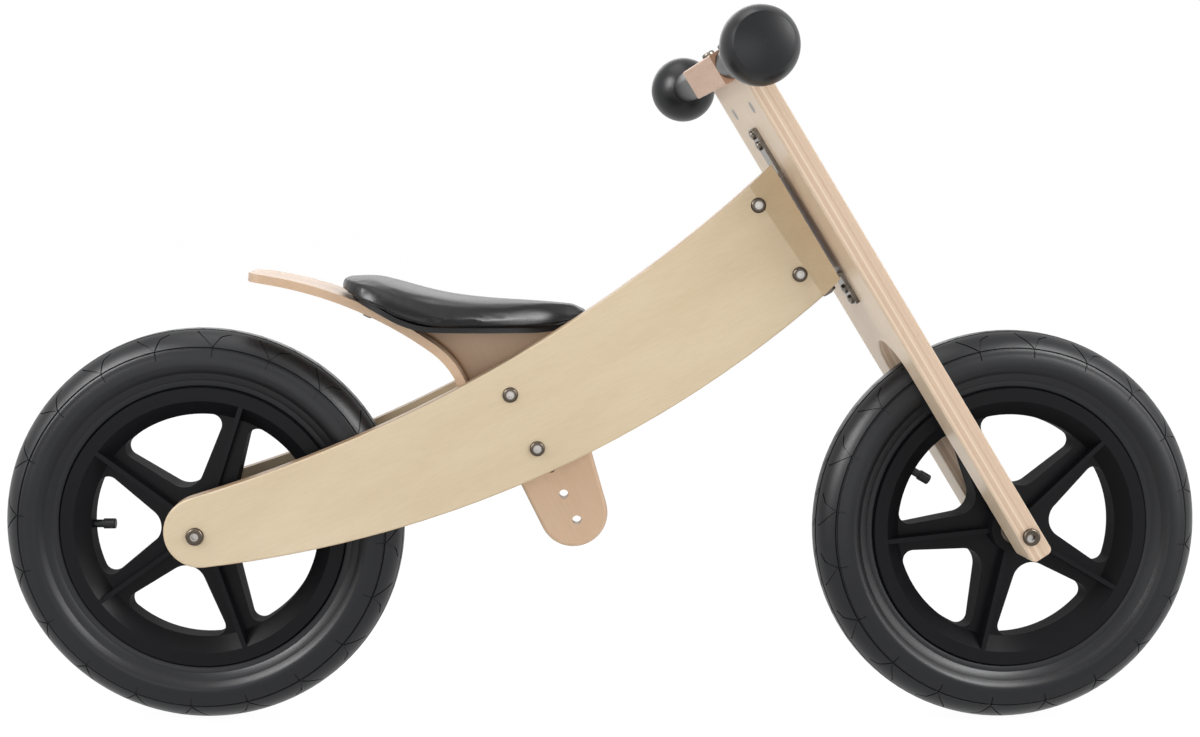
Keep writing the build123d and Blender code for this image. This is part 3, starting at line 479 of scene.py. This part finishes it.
# The third colour is the painted shade round the middle of each bolt head.
finishes["head_steel"] = plated(
    "head_steel", paint(150, 146, 142), paint(190, 186, 182), paint(84, 76, 68), middles
)
print("bolt heads at", [tuple(round(value, 4) for value in middle) for middle in middles])

# %% [markdown]
# ## Helpers for modelling
# An operator works on whatever is selected, so every step starts from nothing selected and then picks its faces
# or points by place. A lathe profile is drawn as by hand: one point, then extruded from spot to spot.

# %% Pick and draw
def begin(piece):
    """Edit one piece, with nothing selected."""
    bpy.ops.object.select_all(action="DESELECT")
    piece.select_set(True)
    bpy.context.view_layer.objects.active = piece
    bpy.ops.object.mode_set(mode="EDIT")
    bpy.ops.mesh.select_mode(type="FACE")
    bpy.ops.mesh.select_all(action="DESELECT")


def pick(piece, test):
    """Select the faces for which the test holds, and say how many there are."""
    mesh = bmesh.from_edit_mesh(piece.data)
    for face in mesh.faces:
        face.select_set(bool(test(face.calc_center_median(), face.normal)))
    bmesh.update_edit_mesh(piece.data)
    return sum(face.select for face in mesh.faces)


def done():
    bpy.ops.object.mode_set(mode="OBJECT")


def draw(name, spots):
    """A new piece that is only a closed line: one point, extruded from spot to spot."""
    bpy.ops.object.select_all(action="DESELECT")
    bpy.ops.mesh.primitive_plane_add(size=0.001, location=(0, 0, 0))
    piece = bpy.context.object
    piece.name = piece.data.name = name
    bpy.ops.object.mode_set(mode="EDIT")
    bpy.ops.mesh.select_all(action="SELECT")
    bpy.ops.mesh.merge(type="CENTER")
    bpy.ops.transform.translate(value=spots[0])
    for last, spot in zip(spots, spots[1:]):
        bpy.ops.mesh.extrude_region_move(TRANSFORM_OT_translate={"value": Vector(spot) - Vector(last)})
    mesh = bmesh.from_edit_mesh(piece.data)
    mesh.verts.ensure_lookup_table()
    bpy.ops.mesh.select_all(action="DESELECT")
    bpy.ops.mesh.select_mode(type="VERT")
    for vertex in [v for v in mesh.verts if len(v.link_edges) == 1]:
        vertex.select_set(True)
    bpy.ops.mesh.edge_face_add()
    done()
    return piece


merge_distance = 0.00003
gentle = radians(32)


def settle(piece):
    """Join what touches, turn the faces outwards, shade smooth between gentle angles."""
    begin(piece)
    bpy.ops.mesh.select_all(action="SELECT")
    bpy.ops.mesh.remove_doubles(threshold=merge_distance)
    bpy.ops.mesh.select_all(action="SELECT")
    bpy.ops.mesh.normals_make_consistent(inside=False)
    mesh = bmesh.from_edit_mesh(piece.data)
    loose = sum(not edge.is_manifold for edge in mesh.edges)
    done()
    bpy.ops.object.shade_smooth_by_angle(angle=gentle)
    print(piece.name, len(piece.data.polygons), "faces,", loose, "open edges")


# %% [markdown]
# ## Tyres
# A child's air tyre is nearly round in section, with a foot that sits in the rim. Its tread wraps round the
# shoulders: a groove beside the middle rib, an edge line where the tread stops, and forked slits between the
# blocks. The section is drawn once, spun through one block, cut along the slits, sunk there, and then repeated
# round the wheel. Slits cut as real grooves keep their look from every side.

# %% One block of the tread
block_count = 20
block_angle = 2 * pi / block_count
middle_radius = 0.127
crown, half_width = 0.0254, 0.025
inner_crown, inner_width = 0.0205, 0.022
slit_width, slit_depth = 0.0010, 0.0008
spin_steps = 6


def outside(angle, sink=0.0):
    """A spot on the tyre's rounded tread: 0 is the crown, 90 the widest place, and minus is the other side."""
    turned = radians(angle)
    return Vector((middle_radius + (crown - sink) * cos(turned), (half_width - sink) * sin(turned), 0))


# From the crown to the widest place: the angle round the section, and how deep the surface lies there.
tread_side = [
    (4, 0), (8, 0), (12.0, 0), (12.6, 1.6), (15.2, 1.6), (15.8, 0), (20, 0), (24, 0), (28, 0), (32, 0), (36, 0),
    (40, 0), (44, 0), (48, 0), (52, 0), (56, 0), (59.6, 0), (61.0, 1.0), (62.4, 1.0), (64.4, -0.4), (66.5, -0.5),
    (69.5, 0), (74, 0), (79, 0), (84, 0), (90, 0),
]
# Below it, in millimetres from the axle and from the middle: the bulge, a crease and the bead band.
bead_side = [
    (125.6, 24.9), (124.2, 24.4), (122.8, 23.5), (121.4, 22.3), (120.1, 21.1), (119.0, 20.0), (118.6, 18.6),
    (118.1, 16.6), (117.4, 16.1), (116.8, 16.8), (116.2, 17.5), (115.3, 17.7), (112.5, 17.4), (110.0, 16.9),
    (108.9, 16.2), (108.3, 15.0),
]
half_line = [outside(angle, sink / 1000) for angle, sink in tread_side]
half_line += [Vector((out / 1000, aside / 1000, 0)) for out, aside in bead_side]
outer_line = [Vector((spot.x, -spot.y, 0)) for spot in reversed(half_line)] + [outside(0)] + half_line
foot_side, foot_inner, foot_low, foot_top = 0.015, 0.0116, 0.1018, 0.1083
foot_line = [Vector((foot_low, foot_side, 0)), Vector((foot_low, foot_inner, 0)), Vector((foot_top, foot_inner, 0))]


def inside(angle):
    """A spot on the tyre's inner wall, counted like those outside."""
    turned = radians(angle)
    radius = inner_crown if abs(angle) < 90 else inner_width
    return Vector((middle_radius + radius * cos(turned), inner_width * sin(turned), 0))


inner_side = [*range(15, 90, 15), *range(90, 150, 10)]
inner_line = [inside(angle) for angle in (*reversed(inner_side), 0, *(-angle for angle in inner_side))]
other_foot = [Vector((spot.x, -spot.y, 0)) for spot in reversed(foot_line)]
tyre = draw("tyre_block", outer_line + foot_line + inner_line + other_foot)
begin(tyre)
bpy.ops.mesh.select_all(action="SELECT")
bpy.ops.transform.rotate(value=block_angle / 2, orient_axis="Y", center_override=(0, 0, 0))
bpy.ops.mesh.select_all(action="SELECT")
bpy.ops.mesh.spin(steps=spin_steps, angle=-block_angle, center=(0, 0, 0), axis=(0, 1, 0))
bpy.ops.mesh.select_all(action="SELECT")
bpy.ops.mesh.normals_make_consistent(inside=False)
ends = [degrees(atan(vertex.co.z / vertex.co.x)) for vertex in bmesh.from_edit_mesh(tyre.data).verts]
print("block from", round(min(ends), 2), "to", round(max(ends), 2), "degrees")
done()

# %% [markdown]
# A slit is a narrow strip of the surface between two spots. Four cuts outline it: two along its sides, two
# across its ends. All the strips are outlined first and sunk together afterwards, so that where two of them
# meet the floor of the groove is one level.

# %% Cut the slits and repeat the block
near_slit = 0.004      # the cuts for a slit reach this far past it
tread_level = 0.004    # and go no further in or out


def on_block(turned, angle):
    """A spot on the tyre, turned round the wheel from the middle of the block."""
    return Matrix.Rotation(radians(-turned), 3, "Y") @ outside(angle)


def strips(side):
    """The slits of one shoulder: forks from the edge line, a short stem below it, nicks in the middle ribs."""
    lines = [
        ((0, 60), (4.2, 33)), ((0, 60), (-2.0, 36)), ((0, 77), (0, 60)),
        ((4.2, 33), (5.2, 23)), ((-2.0, 36), (-4.6, 27)),
        ((-5.5, 10.5), (-3.2, 4)), ((3.5, 10.5), (5.8, 4)),
    ]
    return [(on_block(a[0], side * a[1]), on_block(b[0], side * b[1])) for a, b in lines]


def strip_test(start, end, grow=0.0):
    """A test for the faces in a slit's strip, and the strip's middle, its way along and its way across."""
    middle, way = (start + end) / 2, (end - start).normalized()
    spoke = Vector((middle.x, 0, middle.z)).normalized()
    out = (middle - spoke * middle_radius).normalized()
    across = way.cross(out).normalized()
    half_length = (end - start).length / 2 + grow

    def test(centre, normal):
        from_middle = centre - middle
        return (
            abs(from_middle.dot(way)) < half_length and abs(from_middle.dot(across)) < slit_width / 2 + grow
            and abs(from_middle.dot(out)) < tread_level and normal.dot(out) > 0.2
        )
    return test, middle, way, across


tread = strips(-1) + strips(1)
begin(tyre)
for start, end in tread:
    near, middle, way, across = strip_test(start, end, near_slit)
    side_cuts = [(middle + across * slit_width / 2, across), (middle - across * slit_width / 2, across)]
    for spot, facing in [*side_cuts, (start, way), (end, way)]:
        pick(tyre, near)
        bpy.ops.mesh.bisect(plane_co=spot, plane_no=facing, threshold=0.000001)
tests = [strip_test(start, end)[0] for start, end in tread]
sunk = pick(tyre, lambda centre, normal: any(test(centre, normal) for test in tests))
bpy.ops.mesh.extrude_region_shrink_fatten(TRANSFORM_OT_shrink_fatten={"value": -slit_depth})
bpy.ops.mesh.select_all(action="SELECT")
bpy.ops.mesh.spin(
    steps=block_count - 1, angle=block_angle * (block_count - 1), dupli=True, center=(0, 0, 0), axis=(0, 1, 0)
)
done()
settle(tyre)
print(sunk, "faces sunk in each of", block_count, "blocks")

# %% [markdown]
# Both wheels wear the same tyre. Each copy has its own mesh, turned to where its blocks stand and set on its
# axle: the rear axle lies straight across, the front one is turned with the steering.

# %% Put a tyre on each wheel
slack = 0.0001
for wheel, phase in (("rear", 13.6), ("front", 12.0)):
    joint = joints[wheel + "_wheel_spin"]
    piece = bpy.data.objects.new(wheel + "_tyre_tread", tyre.data.copy())
    bpy.context.scene.collection.objects.link(piece)
    to_axle = Vector((0, 1, 0)).rotation_difference(Vector(joint["axis"])).to_matrix().to_4x4()
    piece.data.transform(
        Matrix.Translation(Vector(joint["pos_m"])) @ to_axle @ Matrix.Rotation(-radians(phase), 4, "Y")
    )
    piece.data.materials.append(finishes["tyre_rubber"])
    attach(piece, wheel + "_wheel")
    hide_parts(wheel + "_tyre")
    fits = all(
        low - slack < vertex.co[axis] < high + slack
        for axis, (low, high) in enumerate(zip(*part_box(wheel + "_tyre"))) for vertex in piece.data.vertices
    )
    print(piece.name, "inside its solid:", fits)
bpy.data.objects.remove(tyre)

# %% [markdown]
# ## Saddle
# The saddle is a foam pad under tight vinyl: its top swells a little, its rim is fully rounded, and it is nearly
# flat only underneath, where it lies on its base. Foam is best blown up rather than drawn: the solid pad is
# remeshed into even squares, its rim is rounded, and Blender's cloth is given pressure from inside.

# %% Round off the saddle
def tree_of(mesh, keep=lambda face: True):
    """A search tree over the faces of a mesh that pass a test."""
    spots = [vertex.co for vertex in mesh.vertices]
    return BVHTree.FromPolygons(spots, [face.vertices[:] for face in mesh.polygons if keep(face)])


def pad_copy(name, node, voxel):
    """A copy of a solid pad, remeshed into even squares."""
    piece = bpy.data.objects.new(name, nodes[node].data.copy())
    bpy.context.scene.collection.objects.link(piece)
    piece.data.materials.clear()
    begin(piece)
    bpy.ops.mesh.select_all(action="SELECT")
    bpy.ops.mesh.remove_doubles(threshold=0.00001)
    done()
    remesh = piece.modifiers.new("even_squares", "REMESH")
    remesh.mode, remesh.voxel_size = "VOXEL", voxel
    bpy.ops.object.modifier_apply(modifier=remesh.name)
    return piece


side_rim, end_rim = 0.010, 0.003
side_fall, fall_width = 0.005, 0.04        # how much the top falls away to its sides, and over which width
nose_place, nose_fade = -0.02, 0.06        # no fall ahead of this place, and all of it this far behind
wall_skin, inner_probe = 0.0005, 0.001
swell_pressure, swell_limit = 4.0, 0.0012


def round_rim(piece, node):
    """Turn the square rim over its top edge into a quarter round, wide along the sides and tighter at the ends."""
    mesh = nodes[node].data
    whole = tree_of(mesh)
    walls = tree_of(mesh, lambda face: abs(face.normal.z) < 0.2)
    up = Vector((0, 0, 1))
    for vertex in piece.data.vertices:
        spot = vertex.co
        side, _, _, _ = walls.find_nearest(spot)
        inwards = Vector((spot.x - side.x, spot.y - side.y, 0))
        depth = inwards.length
        if depth > wall_skin:
            inwards.normalize()
            probe = spot
        else:
            middle = Vector((spot.x * 0.9 - 0.011, 0, 0))
            inwards = Vector((middle.x - spot.x, -spot.y, 0)).normalized()
            probe = spot + inwards * inner_probe
        top, _, _, _ = whole.ray_cast(Vector((probe.x, probe.y, 1)), -up)
        under, _, _, _ = whole.ray_cast(Vector((probe.x, probe.y, 0)), up)
        if top is None or under is None:
            continue
        rim = end_rim + (side_rim - end_rim) * inwards.y**2
        thick = top.z - under.z
        height = min(max((spot.z - under.z) / thick, 0), 1)
        behind_nose = min(max((nose_place - spot.x) / nose_fade, 0), 1)
        thick -= side_fall * max(1 - depth / fall_width, 0) ** 2 * inwards.y**2 * behind_nose
        out = max(1 - depth / rim, 0)
        moved = rim * (out - out * (1 - height**2 / 2) ** 0.5)
        level = height * (1 - out**2 / 2) ** 0.5
        vertex.co = Vector((spot.x, spot.y, under.z + thick * level)) + inwards * moved


def blow_up(piece, pressure, cap, frames=20):
    """Blender's cloth, with air inside, and no point moved further than the cap."""
    rest = [vertex.co.copy() for vertex in piece.data.vertices]
    cloth = piece.modifiers.new("foam", "CLOTH")
    settings = cloth.settings
    settings.use_pressure, settings.uniform_pressure_force = True, pressure
    settings.effector_weights.gravity = 0
    settings.quality, settings.mass = 6, 0.3
    for number in range(1, frames + 1):
        bpy.context.scene.frame_set(number)
    bpy.ops.object.modifier_apply(modifier=cloth.name)
    bpy.context.scene.frame_set(1)
    for vertex, start in zip(piece.data.vertices, rest):
        move = vertex.co - start
        if move.length > cap:
            vertex.co = start + move * (cap / move.length)
    return max((vertex.co - start).length for vertex, start in zip(piece.data.vertices, rest))


pad = pad_copy("saddle_cover", "seat_pad", 0.0025)
round_rim(pad, "seat_pad")
begin(pad)
bpy.ops.mesh.select_all(action="SELECT")
bpy.ops.mesh.vertices_smooth(factor=0.5, repeat=3)
bpy.ops.transform.shrink_fatten(value=-0.001)
done()
print("the foam swelled by up to", round(blow_up(pad, swell_pressure, swell_limit) * 1000, 2), "mm")
finer = pad.modifiers.new("finer", "SUBSURF")
finer.levels = finer.render_levels = 1
bpy.ops.object.modifier_apply(modifier=finer.name)
bpy.ops.object.shade_smooth()
pad.data.materials.append(finishes["black_vinyl"])
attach(pad, "frame")
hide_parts("seat_pad")
print(pad.name, len(pad.data.polygons), "faces")

# %% [markdown]
# Each solid names its material slot in the record, so one loop dresses them all. Only the slots are filled:
# the solids' own meshes stay as they came.

# %% Dress the solids
for name, node in nodes.items():
    node.data.materials.clear()
    node.data.materials.append(finishes["head_steel" if name in bolt_names else slots[name]])
print(len(nodes), "solids dressed with", len(finishes), "finishes")

# %% Update the view layer
bpy.context.view_layer.update()
